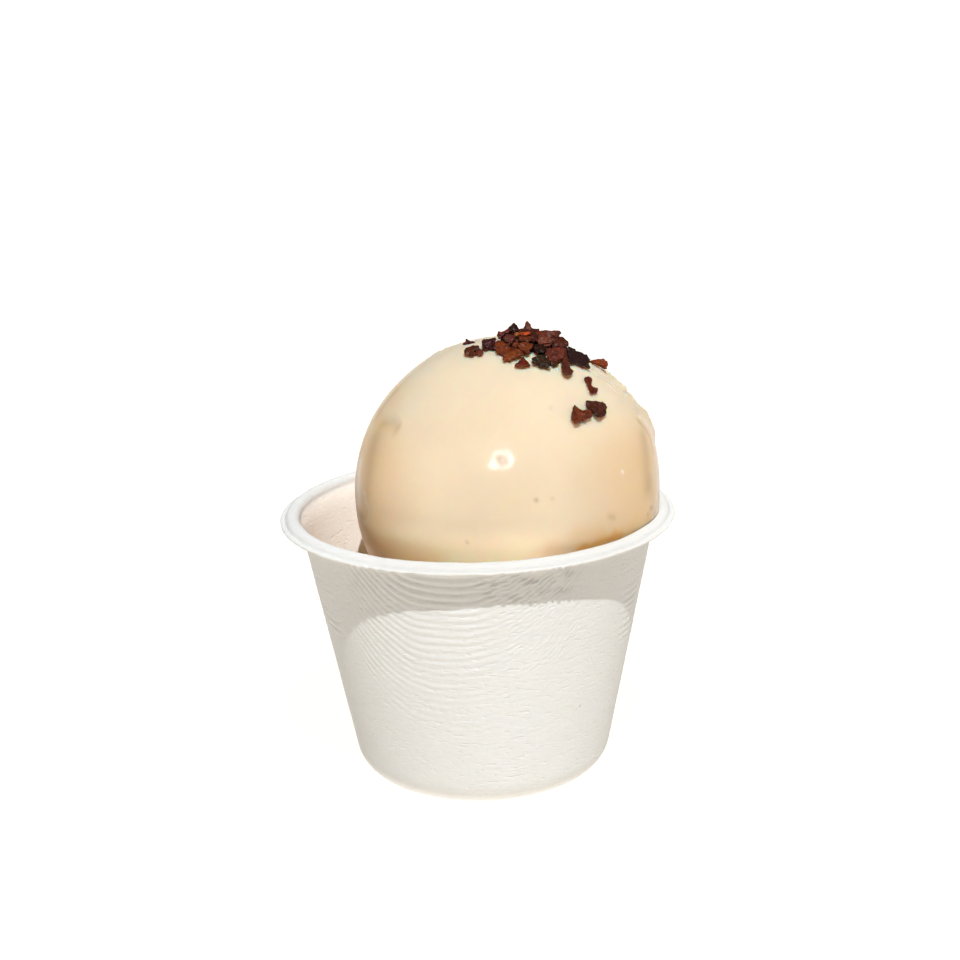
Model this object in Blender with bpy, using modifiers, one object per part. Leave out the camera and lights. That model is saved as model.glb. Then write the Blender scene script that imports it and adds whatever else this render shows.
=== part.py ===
"""Sorbet tub: a moulded pulp cup, a large ball of sorbet pressed down into it, and cocoa nibs on the ball.

Units are metres, +Z is up, and the origin is the middle of the cup's flat base. Longitudes on the ball are
measured from the front, which is -Y, towards +X, and latitudes upwards from its equator.
"""

import math

import bmesh
import bpy
from mathutils import Matrix, Vector

MM = 0.001
GAP = 0.3 * MM  # clearance between pieces that touch in the real thing

# The cup: a cone of moulded pulp with a rounded foot, a domed rim and a thin lip outside the dome.
CUP_HEIGHT = 53.2 * MM
CUP_WALL = 0.8 * MM
WALL_RADIUS_AT_FOOT = 23.8 * MM  # outer face of the wall, carried down to the table
WALL_LEAN = 0.203  # growth of the radius for each unit of height
FOOT_ROUND = 7.0 * MM
FLARE_START = 49.5 * MM  # height at which the wall bends out to meet the rim
DOME_RADIUS = 1.45 * MM  # half the width of the domed rim
DOME_CREST = 35.65 * MM  # distance of its crest from the axis
LIP_RADIUS = 38.0 * MM
LIP_TOP_DROP = 1.15 * MM  # how far the lip's upper face lies below the crest
LIP_THICK = 0.6 * MM
CUP_STEPS = 60

# The sorbet: one ball, leaning on the right of the rim, on a bed pressed down to the cup's floor.
BALL_RADIUS = 29.4 * MM
BALL_CENTRE = Vector((6.1, -1.5, 56.7)) * MM
BALL_SEGMENTS = 44
BALL_RINGS = 30
BED_LEVEL = 32.0 * MM  # where the bed meets the cup
BED_COLLAR = 38.0 * MM  # where it runs up into the ball
BED_STEPS = 44
OUTSIDE = 45.0 * MM  # reach of the helper solids, past everything
# Swellings and hollows of the ball: longitude, latitude, height, and half-width in degrees.
BALL_FORMS = (
    (72, 27, 0.7 * MM, 17),
    (92, 4, -0.6 * MM, 16),
    (42, -14, -0.7 * MM, 14),
    (-70, 33, -0.3 * MM, 9),
    (-95, -10, 0.3 * MM, 25),
    (170, 15, 0.5 * MM, 30),
)

# The heap of nibs on the top of the ball, and the nibs that lie apart from it.
HEAP_LONGITUDE = 66
HEAP_LATITUDE = 78
# How far the heap goes over the ball from its middle, every 15 degrees round, from level on its right.
HEAP_REACHES = [
    reach * MM
    for reach in (
        *(8.7, 8.7, 8.5, 8.8, 9.0, 9.2, 9.4, 9.0, 9.4, 9.5, 9.6, 9.2),
        *(8.0, 7.6, 9.9, 10.5, 10.7, 10.9, 10.6, 10.2, 8.6, 9.4, 9.7, 8.9),
    )
]
HEAP_HEIGHT = 3.9 * MM
HEAP_SEGMENTS = 30
HEAP_RINGS = 14
NIB_SQUARENESS = 0.14  # how far a nib's faces leave an ellipsoid
# Longitude, latitude, length, width, height and the turn of its length from the level, in degrees.
LOOSE_NIBS = (
    (-97, 76.5, 2.3 * MM, 1.5 * MM, 1.1 * MM, 0),
    (-40, 73, 3.5 * MM, 2.0 * MM, 1.4 * MM, -20),
    (14.6, 66.6, 3.2 * MM, 2.1 * MM, 1.3 * MM, 0),
    (87.7, 53.8, 3.2 * MM, 2.0 * MM, 1.4 * MM, 80),
    (54, 50, 3.5 * MM, 1.8 * MM, 1.2 * MM, 100),
    (45.4, 40.7, 3.9 * MM, 3.2 * MM, 1.7 * MM, -10),
    (35, 39.8, 3.6 * MM, 3.2 * MM, 1.7 * MM, 10),
)


def clear_scene():
    for old in list(bpy.data.objects):
        bpy.data.objects.remove(old, do_unlink=True)


def new_collection(name):
    collection = bpy.data.collections.new(name)
    bpy.context.scene.collection.children.link(collection)
    return collection


def new_material(name, colour, roughness, metallic=0.0):
    made = bpy.data.materials.new(name)
    made.use_nodes = True
    shader = made.node_tree.nodes["Principled BSDF"]
    shader.inputs["Base Color"].default_value = (*colour, 1.0)
    shader.inputs["Roughness"].default_value = roughness
    shader.inputs["Metallic"].default_value = metallic
    return made


def add_object(name, mesh, collection, finish=None):
    obj = bpy.data.objects.new(name, mesh)
    collection.objects.link(obj)
    if finish:
        mesh.materials.append(finish)
        mesh.shade_smooth()
    else:
        obj.hide_render = True
        obj.display_type = "WIRE"
    return obj


def arc(centre_r, centre_z, radius, start, end, count):
    """Points of a profile's arc, from one angle to the other in degrees, 0 pointing away from the axis."""
    angles = [math.radians(start + (end - start) * i / (count - 1)) for i in range(count)]
    return [(centre_r + radius * math.cos(a), centre_z + radius * math.sin(a)) for a in angles]


def turned(name, profile, steps, collection, finish=None):
    """A closed solid from a profile that starts and ends on the axis and runs down its outer side."""
    mesh = bpy.data.meshes.new(name)
    points = [(r, 0.0, z) for r, z in profile]
    mesh.from_pydata(points, [(i, i + 1) for i in range(len(points) - 1)], [])
    obj = add_object(name, mesh, collection, finish)
    screw = obj.modifiers.new("Turn", "SCREW")
    screw.axis = "Z"
    screw.steps = screw.render_steps = steps
    screw.use_merge_vertices = True
    screw.merge_threshold = 0.00001
    screw.use_smooth_shade = True
    return obj


def boolean(obj, operation, other):
    modifier = obj.modifiers.new(other.name, "BOOLEAN")
    modifier.operation = operation
    modifier.object = other
    modifier.solver = "EXACT"


def wall_radius(height, inset):
    """Radius of the cup's wall at a height, inset from its outer face along the slanted wall's normal."""
    return WALL_RADIUS_AT_FOOT + WALL_LEAN * height - inset * math.hypot(1, WALL_LEAN)


def foot_arc(inset):
    """The rounded foot from the floor up to the wall, inset from the cup's outer face."""
    centre_r = wall_radius(FOOT_ROUND, FOOT_ROUND)
    wall_angle = -math.degrees(math.atan(WALL_LEAN))
    return arc(centre_r, FOOT_ROUND, FOOT_ROUND - inset, -90, wall_angle, 7)


def cup_inside(inset):
    """The inner face from the middle of the floor up to the dome's inner edge, inset from the outer face."""
    dome_z = CUP_HEIGHT - DOME_RADIUS
    dome_inner = DOME_CREST - DOME_RADIUS - (inset - CUP_WALL)
    flare_r = wall_radius(FLARE_START, inset)
    middle = ((flare_r + dome_inner) / 2 - 0.12 * MM, (FLARE_START + dome_z) / 2)
    return [(0.0, inset)] + foot_arc(inset) + [(flare_r, FLARE_START), middle, (dome_inner, dome_z)]


def make_cup(collection, finish):
    dome_z = CUP_HEIGHT - DOME_RADIUS
    lip_top = CUP_HEIGHT - LIP_TOP_DROP
    lip_middle = lip_top - LIP_THICK / 2
    lip_bottom = lip_top - LIP_THICK
    hollow = DOME_RADIUS - CUP_WALL  # radius of the groove under the dome
    dome = arc(DOME_CREST, dome_z, DOME_RADIUS, 170, 15, 10)
    lip = arc(LIP_RADIUS - LIP_THICK / 2, lip_middle, LIP_THICK / 2, 90, -90, 5)
    under = [(DOME_CREST + hollow, lip_bottom)] + arc(DOME_CREST, dome_z, hollow, 0, 180, 5)
    outside = [(wall_radius(FLARE_START, 0), FLARE_START)] + foot_arc(0)[::-1]
    profile = cup_inside(CUP_WALL) + dome + lip + under + outside + [(0.0, 0.0)]
    return turned("cup", profile, CUP_STEPS, collection, finish)


def direction(longitude, latitude):
    lon, lat = math.radians(longitude), math.radians(latitude)
    return Vector((math.sin(lon) * math.cos(lat), -math.cos(lon) * math.cos(lat), math.sin(lat)))


def ball_radius(towards):
    """Distance of the ball's surface from its centre, with its swellings and hollows."""
    radius = BALL_RADIUS
    for longitude, latitude, height, half_width in BALL_FORMS:
        away = towards.angle(direction(longitude, latitude)) / math.radians(half_width)
        radius += height * math.exp(-away * away)
    return radius


def make_ball(name, collection, finish=None, grown=0.0):
    shape = bmesh.new()
    bmesh.ops.create_uvsphere(shape, u_segments=BALL_SEGMENTS, v_segments=BALL_RINGS, radius=1.0)
    for vertex in shape.verts:
        towards = vertex.co.normalized()
        vertex.co = towards * (ball_radius(towards) + grown)
    mesh = bpy.data.meshes.new(name)
    shape.to_mesh(mesh)
    shape.free()
    ball = add_object(name, mesh, collection, finish)
    ball.location = BALL_CENTRE
    return ball


def make_bed(collection):
    """The pressed-down sorbet under the ball, wider than the cup, which the cup's room then trims."""
    contact = math.sqrt(BALL_RADIUS**2 - (BALL_CENTRE.z - BED_COLLAR) ** 2)
    profile = [(0.0, BED_COLLAR), (contact - 3 * MM, BED_COLLAR)]
    profile += arc(contact + 5 * MM, BED_COLLAR, BED_COLLAR - BED_LEVEL, 200, 265, 6)
    profile += [(OUTSIDE, BED_LEVEL), (OUTSIDE, -1 * MM), (0.0, -1 * MM)]
    bed = turned("bed", profile, BED_STEPS, collection)
    bed.location = (BALL_CENTRE.x, BALL_CENTRE.y, 0)
    return bed


def make_room(collection):
    """The space that the sorbet may take: inside the cup and above its rim, clear of both by the gap."""
    over_rim = CUP_HEIGHT + GAP
    top = BALL_CENTRE.z + OUTSIDE
    dome = arc(DOME_CREST, CUP_HEIGHT - DOME_RADIUS, DOME_RADIUS + GAP, 90, 170, 6)
    inside = cup_inside(CUP_WALL + GAP)[::-1]
    profile = [(0.0, top), (OUTSIDE, top), (OUTSIDE, over_rim)] + dome + inside
    return turned("room", profile, CUP_STEPS, collection)


def make_sorbet(collection, helpers, finish):
    sorbet = make_ball("sorbet", collection, finish)
    boolean(sorbet, "UNION", make_bed(helpers))
    boolean(sorbet, "INTERSECT", make_room(helpers))
    return sorbet


def axes_on_ball(longitude, latitude):
    """The turn that takes local Z to the ball's normal, local X to level and local Y uphill."""
    normal = direction(longitude, latitude)
    level = Vector((0, 0, 1)).cross(normal).normalized()
    return Matrix((level, normal.cross(level), normal)).transposed()


def heap_reach(around):
    """The heap's uneven edge at an angle round its middle."""
    place = around / math.tau % 1 * len(HEAP_REACHES)
    before = int(place) % len(HEAP_REACHES)
    share = (1 - math.cos(math.pi * (place - int(place)))) / 2
    after = (before + 1) % len(HEAP_REACHES)
    return HEAP_REACHES[before] * (1 - share) + HEAP_REACHES[after] * share


def heap_top(x, y):
    """The heap's uneven top: its height at a place within a unit circle, as a factor."""
    bumps = 0.12 * math.sin(4.3 * x + 1.0) * math.cos(5.1 * y)
    return 0.82 + bumps + 0.10 * math.sin(9.0 * x - 0.7) * math.sin(8.0 * y + 0.4)


def make_heap(collection, helpers, finish):
    """A low mound: each point of a unit ball goes so far over the ball of sorbet and so high above it."""
    axes = axes_on_ball(HEAP_LONGITUDE, HEAP_LATITUDE)
    shape = bmesh.new()
    bmesh.ops.create_uvsphere(shape, u_segments=HEAP_SEGMENTS, v_segments=HEAP_RINGS, radius=1.0)
    for vertex in shape.verts:
        x, y, z = vertex.co
        around = math.atan2(y, x)
        over = heap_reach(around) * math.hypot(x, y) / BALL_RADIUS
        level = math.sin(over)
        towards = Vector((math.cos(around) * level, math.sin(around) * level, math.cos(over)))
        towards.rotate(axes)
        vertex.co = towards * (ball_radius(towards) + HEAP_HEIGHT * heap_top(x, y) * z)
    mesh = bpy.data.meshes.new("nib_heap")
    shape.to_mesh(mesh)
    shape.free()
    heap = add_object("nib_heap", mesh, collection, finish)
    heap.location = BALL_CENTRE
    boolean(heap, "DIFFERENCE", make_ball("ball_clearance", helpers, grown=GAP))
    return heap


def make_loose_nib(number, collection, finish):
    """A shard: a coarse ball whose corners are drawn out by a rule that differs from nib to nib."""
    longitude, latitude, length, width, height, turn = LOOSE_NIBS[number]
    shape = bmesh.new()
    bmesh.ops.create_icosphere(shape, subdivisions=2, radius=0.5)
    for vertex in shape.verts:
        x, y, z = vertex.co
        swell = math.sin(7 * x + 2.3 * number) + math.sin(8 * y + 1.7 * number) + math.sin(6 * z + number)
        factor = 1 + NIB_SQUARENESS * swell
        vertex.co = Vector((x * length, y * width, z * height)) * factor
    lowest = min(vertex.co.z for vertex in shape.verts)
    sag = BALL_RADIUS - math.sqrt(BALL_RADIUS**2 - (length / 2) ** 2)
    mesh = bpy.data.meshes.new(f"nib_{number + 1}")
    shape.to_mesh(mesh)
    shape.free()
    nib = add_object(mesh.name, mesh, collection, finish)
    normal = direction(longitude, latitude)
    nib.location = BALL_CENTRE + normal * (ball_radius(normal) + GAP - lowest + sag / 2)
    spin = Matrix.Rotation(math.radians(turn), 3, "Z")
    nib.rotation_euler = (axes_on_ball(longitude, latitude) @ spin).to_euler()
    return nib


def main():
    clear_scene()
    tub = new_collection("sorbet_tub")
    helpers = new_collection("helpers")
    pulp = new_material("pulp", (0.80, 0.78, 0.72), 0.85)
    cream = new_material("sorbet", (0.88, 0.72, 0.50), 0.28)
    cocoa = new_material("cocoa_nib", (0.10, 0.035, 0.02), 0.6)
    make_cup(tub, pulp)
    make_sorbet(tub, helpers, cream)
    make_heap(tub, helpers, cocoa)
    for number in range(len(LOOSE_NIBS)):
        make_loose_nib(number, tub, cocoa)


main()
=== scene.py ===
"""Looks of the sorbet tub: a moulded pulp cup, a ball of sorbet leaning in it, and cocoa nibs on top.

Lengths are in millimetres until a mesh is made, except those of lights and camera, which are in metres.
Longitudes are measured in degrees from the front, which is -Y, towards +X, round the cup's axis or round
the ball's; latitudes go up from the ball's equator. "Around" is a distance along the wall from its front.
"""

import math

import bmesh
import bpy
import numpy as np
from mathutils import Matrix, Vector, noise


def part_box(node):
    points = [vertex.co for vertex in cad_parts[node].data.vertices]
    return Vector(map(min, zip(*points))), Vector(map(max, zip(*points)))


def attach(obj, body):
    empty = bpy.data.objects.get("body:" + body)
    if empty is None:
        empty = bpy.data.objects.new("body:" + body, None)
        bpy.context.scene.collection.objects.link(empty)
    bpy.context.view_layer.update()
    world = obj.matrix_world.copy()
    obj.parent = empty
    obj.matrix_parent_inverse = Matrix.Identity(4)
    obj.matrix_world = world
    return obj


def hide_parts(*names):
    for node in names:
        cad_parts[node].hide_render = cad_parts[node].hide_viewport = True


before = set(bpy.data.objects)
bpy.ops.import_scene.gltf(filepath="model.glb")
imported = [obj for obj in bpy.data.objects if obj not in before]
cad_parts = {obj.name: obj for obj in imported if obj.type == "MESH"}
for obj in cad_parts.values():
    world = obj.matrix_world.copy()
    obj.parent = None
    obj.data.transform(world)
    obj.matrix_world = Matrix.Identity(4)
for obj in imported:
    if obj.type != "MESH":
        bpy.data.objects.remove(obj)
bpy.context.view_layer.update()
MM = 0.001

# The cup, as in the CAD model.
CUP_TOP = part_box("cup")[1].z / MM
LIP_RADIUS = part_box("cup")[1].x / MM
CUP_WALL = 0.8
WALL_RADIUS_AT_FOOT = 23.8
WALL_LEAN = 0.203
FOOT_ROUND = 7.0
FLARE_START = 49.5
DOME_RADIUS = 1.45
DOME_CREST = LIP_RADIUS - 2.35
DOME_BASE = CUP_TOP - DOME_RADIUS
LIP_TOP_DROP = 1.15
LIP_THICK = 0.6

# The ripples that the mould leaves on the front of the cup: nested U-shaped ridges.
RIPPLE_LONGITUDE = -12
RIPPLE_PITCH = 1.56
RIPPLE_FLANK_SLOPE = 1.35
RIPPLE_ROUNDING = (11.0, 16.0)  # left and right
STROKE_PITCH = 1.05  # of the broken ripples on the right
RIPPLE_LOWEST = 17.5  # where they fade out
# Dark fibres in the pulp: longitude, height and size.
WALL_SPECKS = ((41.5, 19.4, 0.22), (-74, 12.0, 0.25), (96, 30.5, 0.3), (158, 18.0, 0.25), (-131, 37.0, 0.3))

# The ball of sorbet, as in the CAD model.
BALL_RADIUS = 29.4
BALL_CENTRE = np.array((6.1, -1.5, 56.7))
BED_LEVEL = 32.0
BED_COLLAR = 38.0  # how high the bed reaches up the ball
BED_SLOPE = 4.5  # how far out from the ball the bed comes down to its level
BED_GAP = 0.3  # over the cup's floor
SORBET_CLEARANCE = 0.06
# Swellings and hollows: longitude, latitude, height, half-width in degrees.
BALL_FORMS = (
    (72, 27, 0.7, 17),
    (92, 4, -0.6, 16),
    (42, -14, -0.7, 14),
    (-70, 33, -0.3, 9),
    (-95, -20, 0.3, 20),
    (170, 15, 0.5, 30),
)
# Relief on the ball: height, half-width in degrees, and its line of longitudes and latitudes.
BALL_RELIEF = (
    (0.70, 3.4, ((89, 28), (89, 22))),
    (0.30, 1.3, ((90, 40),)),
    (-0.25, 3.0, ((90, 45), (90, 52))),
    (-0.20, 1.5, ((-3.6, 26.8), (-2.2, 26.2))),
    (-0.14, 2.6, ((-79, 33), (-68, 35), (-58, 34))),
    (0.10, 2.2, ((-76, 37), (-64, 39), (-55, 37))),
    (0.12, 2.4, ((74, 31), (78, 25), (78, 17))),
    (-0.07, 1.2, ((70, 31), (73, 26), (74, 22), (73, 17))),
    (-0.14, 1.4, ((-64, 1), (-66, -3), (-72, -5))),
    (0.07, 1.4, ((-68, 6), (-64, 1))),
    (0.12, 0.7, ((47, 16.4),)),
    (0.14, 0.7, ((73, 31),)),
)
# Torn skin on the ball: longitude, latitude, height, half-width in degrees.
BALL_RAGS = ((90, 46, 0.6, 12), (88, 33, 0.4, 8), (-118, 62, 0.3, 10))
# Marks and painted light on the ball: real amber-brown marks and dark specks, painted shading, painted
# bounce light, painted reflections and glints. Each row: which, its strength, half-width in degrees, and its
# line of longitudes and latitudes. The function that paints the ball adds the wide ones.
BALL_MARKS_AND_PAINTED_LIGHT = (
    # an amber-brown band above the rim at the lower right; the last row is painted shading low at the left
    ("syrup_marks_and_painted_shading", 0.30, 3.2, ((14, -6), (30, -8), (40, -7), (50, -8))),
    ("syrup_marks_and_painted_shading", 0.55, 2.0, ((25, -8), (34, -7), (44, -7))),
    ("syrup_marks_and_painted_shading", 0.25, 3.0, ((24, -2), (34, -3))),
    ("syrup_marks_and_painted_shading", 0.30, 1.4, ((27, -7),)),
    ("syrup_marks_and_painted_shading", 0.30, 1.6, ((41, -5),)),
    ("syrup_marks_and_painted_shading", 0.20, 5.0, ((54, -7), (68, -8))),
    ("syrup_marks_and_painted_shading", 0.18, 4.0, ((-72, -4), (-66, -9), (-58, -14))),
    # painted orange-tinted light low at the left
    ("painted_warm_light", 0.85, 5.5, ((-60, -11), (-50, -13), (-38, -15), (-22, -19))),
    ("painted_warm_light", 0.40, 5.0, ((-58, -5), (-45, -7), (-30, -10))),
    # painted shading on both flanks, low at the left and at the upper left limb
    ("specks_and_painted_shade", 0.28, 3.8, ((67, 24), (63, 15), (61, 7))),
    ("specks_and_painted_shade", 0.12, 3.0, ((64, 8), (66, 0), (62, -6))),
    ("specks_and_painted_shade", 0.30, 5.0, ((-71, 26), (-67, 16), (-66, 7))),
    ("specks_and_painted_shade", 0.08, 2.4, ((-75, -2), (-69, -7), (-62, -11))),
    ("specks_and_painted_shade", 0.25, 2.6, ((-83, 44), (-84, 34))),
    # painted shading in a crease at the left
    ("syrup_marks_and_painted_shading", 0.20, 2.4, ((-74, 32), (-64, 33), (-57, 33))),
    ("specks_and_painted_shade", 0.15, 1.7, ((-72, 32), (-63, 35), (-57, 34))),
    ("specks_and_painted_shade", 0.12, 1.5, ((-56, 34), (-57, 31))),
    # a dark line at the right, painted shading beside it, then dark crumbs, specks and the pit in the
    # highlight, which are real marks
    ("specks_and_painted_shade", 0.32, 1.0, ((70, 30), (73, 26), (74, 22), (73, 17))),
    ("specks_and_painted_shade", 0.14, 4.0, ((74, 12), (72, 3), (71, -3))),
    ("specks_and_painted_shade", 0.80, 1.0, ((73, 2), (75, -1), (74, -4))),
    ("specks_and_painted_shade", 0.60, 0.7, ((71, -1), (70, -3), (68, -5))),
    ("specks_and_painted_shade", 0.35, 0.7, ((63, -1), (66, -2))),
    ("specks_and_painted_shade", 0.30, 0.9, ((61, -3),)),
    ("specks_and_painted_shade", 0.25, 1.2, ((38, 2), (40, 1))),
    ("specks_and_painted_shade", 0.60, 0.8, ((9, 12),)),
    ("specks_and_painted_shade", 0.20, 0.9, ((15, 12),)),
    ("specks_and_painted_shade", 0.35, 0.7, ((-16, -3),)),
    ("specks_and_painted_shade", 0.20, 0.8, ((22, 45),)),
    ("specks_and_painted_shade", 0.40, 1.2, ((-3.8, 26.8), (-2.2, 26.2))),
    # painted reflections on both flanks, then two painted glints
    ("painted_reflection_and_glint", 0.50, 5.0, ((82, 22), (76, 12), (74, 3), (72, -3))),
    ("painted_reflection_and_glint", 0.45, 1.8, ((77, 28), (80, 24))),
    ("painted_reflection_and_glint", 0.60, 3.4, ((-80, 14), (-77, 7), (-75, 1))),
    ("painted_reflection_and_glint", 0.30, 1.0, ((-68, 6), (-66, 3), (-64, 1))),
    ("painted_reflection_and_glint", 1.00, 0.7, ((47, 16.4),)),
    ("painted_reflection_and_glint", 1.00, 0.7, ((73, 31),)),
)

# The nibs are drawn as they are seen from the front and a little above: x to the right and y up.
NIB_RIGHT, NIB_UP, NIB_OUT = np.array(((1, 0, 0), (0, 0.28, 0.96), (0, -0.96, 0.28)))
NIB_VOXEL = 0.12
NIB_STEEPEST_LEAN = 1.3
# The rings of a nib from its back to its front: how wide each is, its depth and how uneven that is, the
# last two in thicknesses.
NIB_RINGS = ((0.88, -0.46, 0.15), (1.0, -0.2, 0.15), (1.0, 0.1, 0.3), (0.8, 0.32, 0.3), (0.4, 0.42, 0.15))
NIB_ENDS = (-0.5, 0.4)  # the depths of the points that close it
# Multiplies the nibs' colours, to make up for the light on them.
NIB_WARMTH = (1.0, 0.7, 0.38)
# Nibs of the heap that show: place right of and behind the heap's middle, height of the nib's middle above
# the ball, thickness, how far it lies along the ball (0 faces the front), colour, and outline.
HEAP_NIBS = {
    "stalk": ((-9.5, -2.9, 0.3), 0.8, 0.8, (74, 38, 30),
              ((-0.6, 0.3), (0.6, 0.1), (0.5, -0.2), (-0.2, -0.4), (-0.6, 0.0))),
    "purple": ((-8.8, -2.0, 0.85), 1.9, 0.3, (58, 22, 28),
               ((-1.4, 0.3), (-0.9, 1.0), (1.2, 1.2), (1.4, 0.8), (0.9, -0.1), (0.9, -1.0), (0.2, -1.25),
                (-1.0, -1.0), (-1.25, -0.4))),
    "corner": ((-6.1, 0.5, 1.75), 1.6, 0.0, (104, 42, 42),
               ((-1.2, -0.3), (-0.9, 0.45), (-0.35, 0.35), (0.95, 0.9), (1.2, 0.65), (0.95, -0.1),
                (0.2, -0.45), (-0.2, -1.0), (-0.95, -1.0))),
    "peak": ((-4.2, 1.2, 2.35), 1.9, 0.0, (44, 20, 22),
             ((-1.15, -0.4), (-0.75, 0.4), (0.2, 1.25), (0.85, 0.75), (1.15, 0.0), (0.9, -0.9), (0.0, -1.5),
              (-0.95, -1.3))),
    "mauve": ((-4.9, -2.5, 1.6), 1.5, 0.2, (84, 43, 40),
              ((-1.2, 0.55), (-0.4, 1.1), (1.1, 0.65), (1.1, -0.1), (0.4, -0.65), (-0.4, -1.2),
               (-0.95, -0.55))),
    "tan": ((-3.4, -0.8, 2.0), 0.8, 0.3, (138, 88, 56), ((-0.8, 0.1), (0.1, 0.5), (0.7, 0.1), (-0.3, -0.5))),
    "orange": ((-1.9, -0.4, 2.05), 1.4, 0.4, (176, 84, 42),
               ((-1.1, 0.3), (0.75, 0.4), (1.1, 0.0), (0.4, -0.4), (-0.95, -0.2))),
    "amber": ((-1.8, -1.9, 1.6), 1.4, 0.4, (84, 38, 10),
              ((-1.5, 0.6), (-0.5, 0.7), (1.2, 0.6), (1.4, -0.4), (0.2, -0.7), (-1.4, -0.5))),
    "spike": ((-1.3, 2.7, 2.6), 1.5, 0.0, (92, 54, 48),
              ((-1.1, -0.65), (-0.6, 0.2), (-0.25, 1.15), (0.3, 0.8), (0.45, 0.0), (1.4, -0.45),
               (1.2, -1.3), (-1.0, -1.4))),
    "wedge": ((-0.3, -1.6, 1.8), 1.3, 0.3, (64, 25, 18),
              ((-0.7, 0.8), (0.6, 0.8), (0.7, -0.6), (-0.4, -0.9))),
    "round": ((-6.2, -4.7, 1.0), 2.2, 0.5, (106, 53, 24),
              ((-1.5, 0.75), (-1.15, 1.25), (-0.3, 1.45), (0.8, 0.85), (1.45, 0.0), (1.5, -0.85),
               (0.6, -1.4), (-0.5, -1.15), (-1.35, -0.65))),
    "broad": ((-4.4, -6.95, 0.7), 1.4, 0.7, (110, 60, 27),
              ((-1.9, -0.8), (-1.8, 0.3), (-1.0, 1.2), (0.1, 0.95), (0.7, 1.45), (1.5, 1.0), (2.0, 0.2),
               (1.3, -0.1), (0.65, -0.5), (0.0, -0.45), (-0.65, -0.95), (-1.3, -0.7))),
    "ragged": ((-2.2, -4.8, 1.2), 1.5, 0.5, (100, 50, 26),
               ((-1.7, 0.6), (-0.5, 1.2), (0.9, 1.1), (1.6, 0.7), (1.5, 0.0), (1.0, -0.4), (0.7, -1.3),
                (0.0, -1.3), (-0.9, -0.4))),
    "nook": ((0.45, -4.3, 1.15), 1.2, 0.6, (36, 14, 6),
             ((-1.1, 0.9), (0.9, 1.1), (1.4, 0.2), (0.9, -0.8), (-0.4, -0.9), (-1.0, 0.0))),
    "disc": ((1.7, -2.0, 1.9), 1.7, 0.2, (104, 58, 48),
             ((-1.5, 0.4), (-0.65, 0.95), (0.65, 1.05), (1.4, 0.4), (1.4, -0.35), (0.65, -1.1),
              (-0.85, -0.9), (-1.4, -0.5))),
    "slab": ((2.9, 1.8, 2.1), 1.8, 0.1, (92, 46, 38),
             ((-2.9, 0.7), (-1.2, 0.9), (1.6, 0.8), (2.0, 0.3), (1.5, -0.6), (0.4, -0.45), (-2.7, -0.6))),
    "shoulder": ((4.5, 1.2, 1.45), 1.9, 0.3, (74, 34, 24),
                 ((-1.9, 1.1), (0.6, 0.85), (1.6, 0.0), (1.7, -0.9), (0.9, -1.3), (-0.3, -1.1),
                  (-1.6, -0.8))),
    "granular": ((3.35, -5.4, 1.25), 1.7, 0.5, (96, 46, 42),
                 ((-1.86, 0.1), (-1.1, 1.1), (0.0, 1.6), (1.6, 1.45), (1.85, 0.1), (0.95, -1.0),
                  (-0.2, -1.6), (-1.2, -1.0))),
    "log": ((5.25, -6.05, 0.9), 1.5, 1.0, (76, 37, 28),
            ((-0.85, 2.9), (0.2, 2.7), (0.55, 0.65), (0.75, -0.85), (1.35, -1.8), (1.0, -2.45),
             (-0.1, -2.5), (-0.85, -1.95), (-0.85, -0.3), (-0.5, 1.2))),
    "charred": ((0.7, -8.05, 0.75), 1.8, 0.7, (46, 34, 25),
                ((-1.76, 0.8), (-1.1, 1.25), (0.75, 1.35), (1.6, 0.46), (1.76, -0.75), (1.1, -1.1),
                 (-0.2, -0.85), (-1.67, -0.2))),
    "chip": ((3.3, -6.8, 0.5), 1.0, 0.7, (62, 32, 14),
             ((-0.8, 0.8), (0.8, 0.4), (0.7, -0.1), (-0.4, -0.8), (-0.8, -0.2))),
    "flake": ((8.0, -2.4, 0.95), 1.2, 0.85, (38, 20, 26),
              ((-2.3, 1.7), (-0.8, 1.6), (0.3, 1.3), (1.6, 0.8), (2.2, -0.8), (1.7, -0.65), (1.9, -1.8),
               (1.6, -2.0), (0.4, -1.4), (-0.65, -0.95), (-2.2, -0.9))),
    "left_filler": ((-7.1, -2.7, 0.7), 1.5, 0.4, (62, 27, 22),
                    ((-1.2, 0.5), (0.0, 1.1), (1.2, 0.6), (1.1, -0.8), (-0.2, -1.2), (-1.1, -0.6))),
    "middle_filler": ((-4.1, -5.3, 0.5), 1.4, 0.5, (86, 38, 18),
                      ((-1.2, 0.4), (0.1, 1.1), (1.3, 0.5), (1.0, -0.7), (0.0, -1.0), (-1.1, -0.7))),
    "back_filler": ((-1.4, 1.6, 1.6), 1.8, 0.2, (66, 30, 24),
                    ((-2.6, -0.6), (-2.0, 0.7), (0.0, 1.2), (2.2, 0.9), (2.4, -0.6), (0.0, -1.2))),
}
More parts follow.
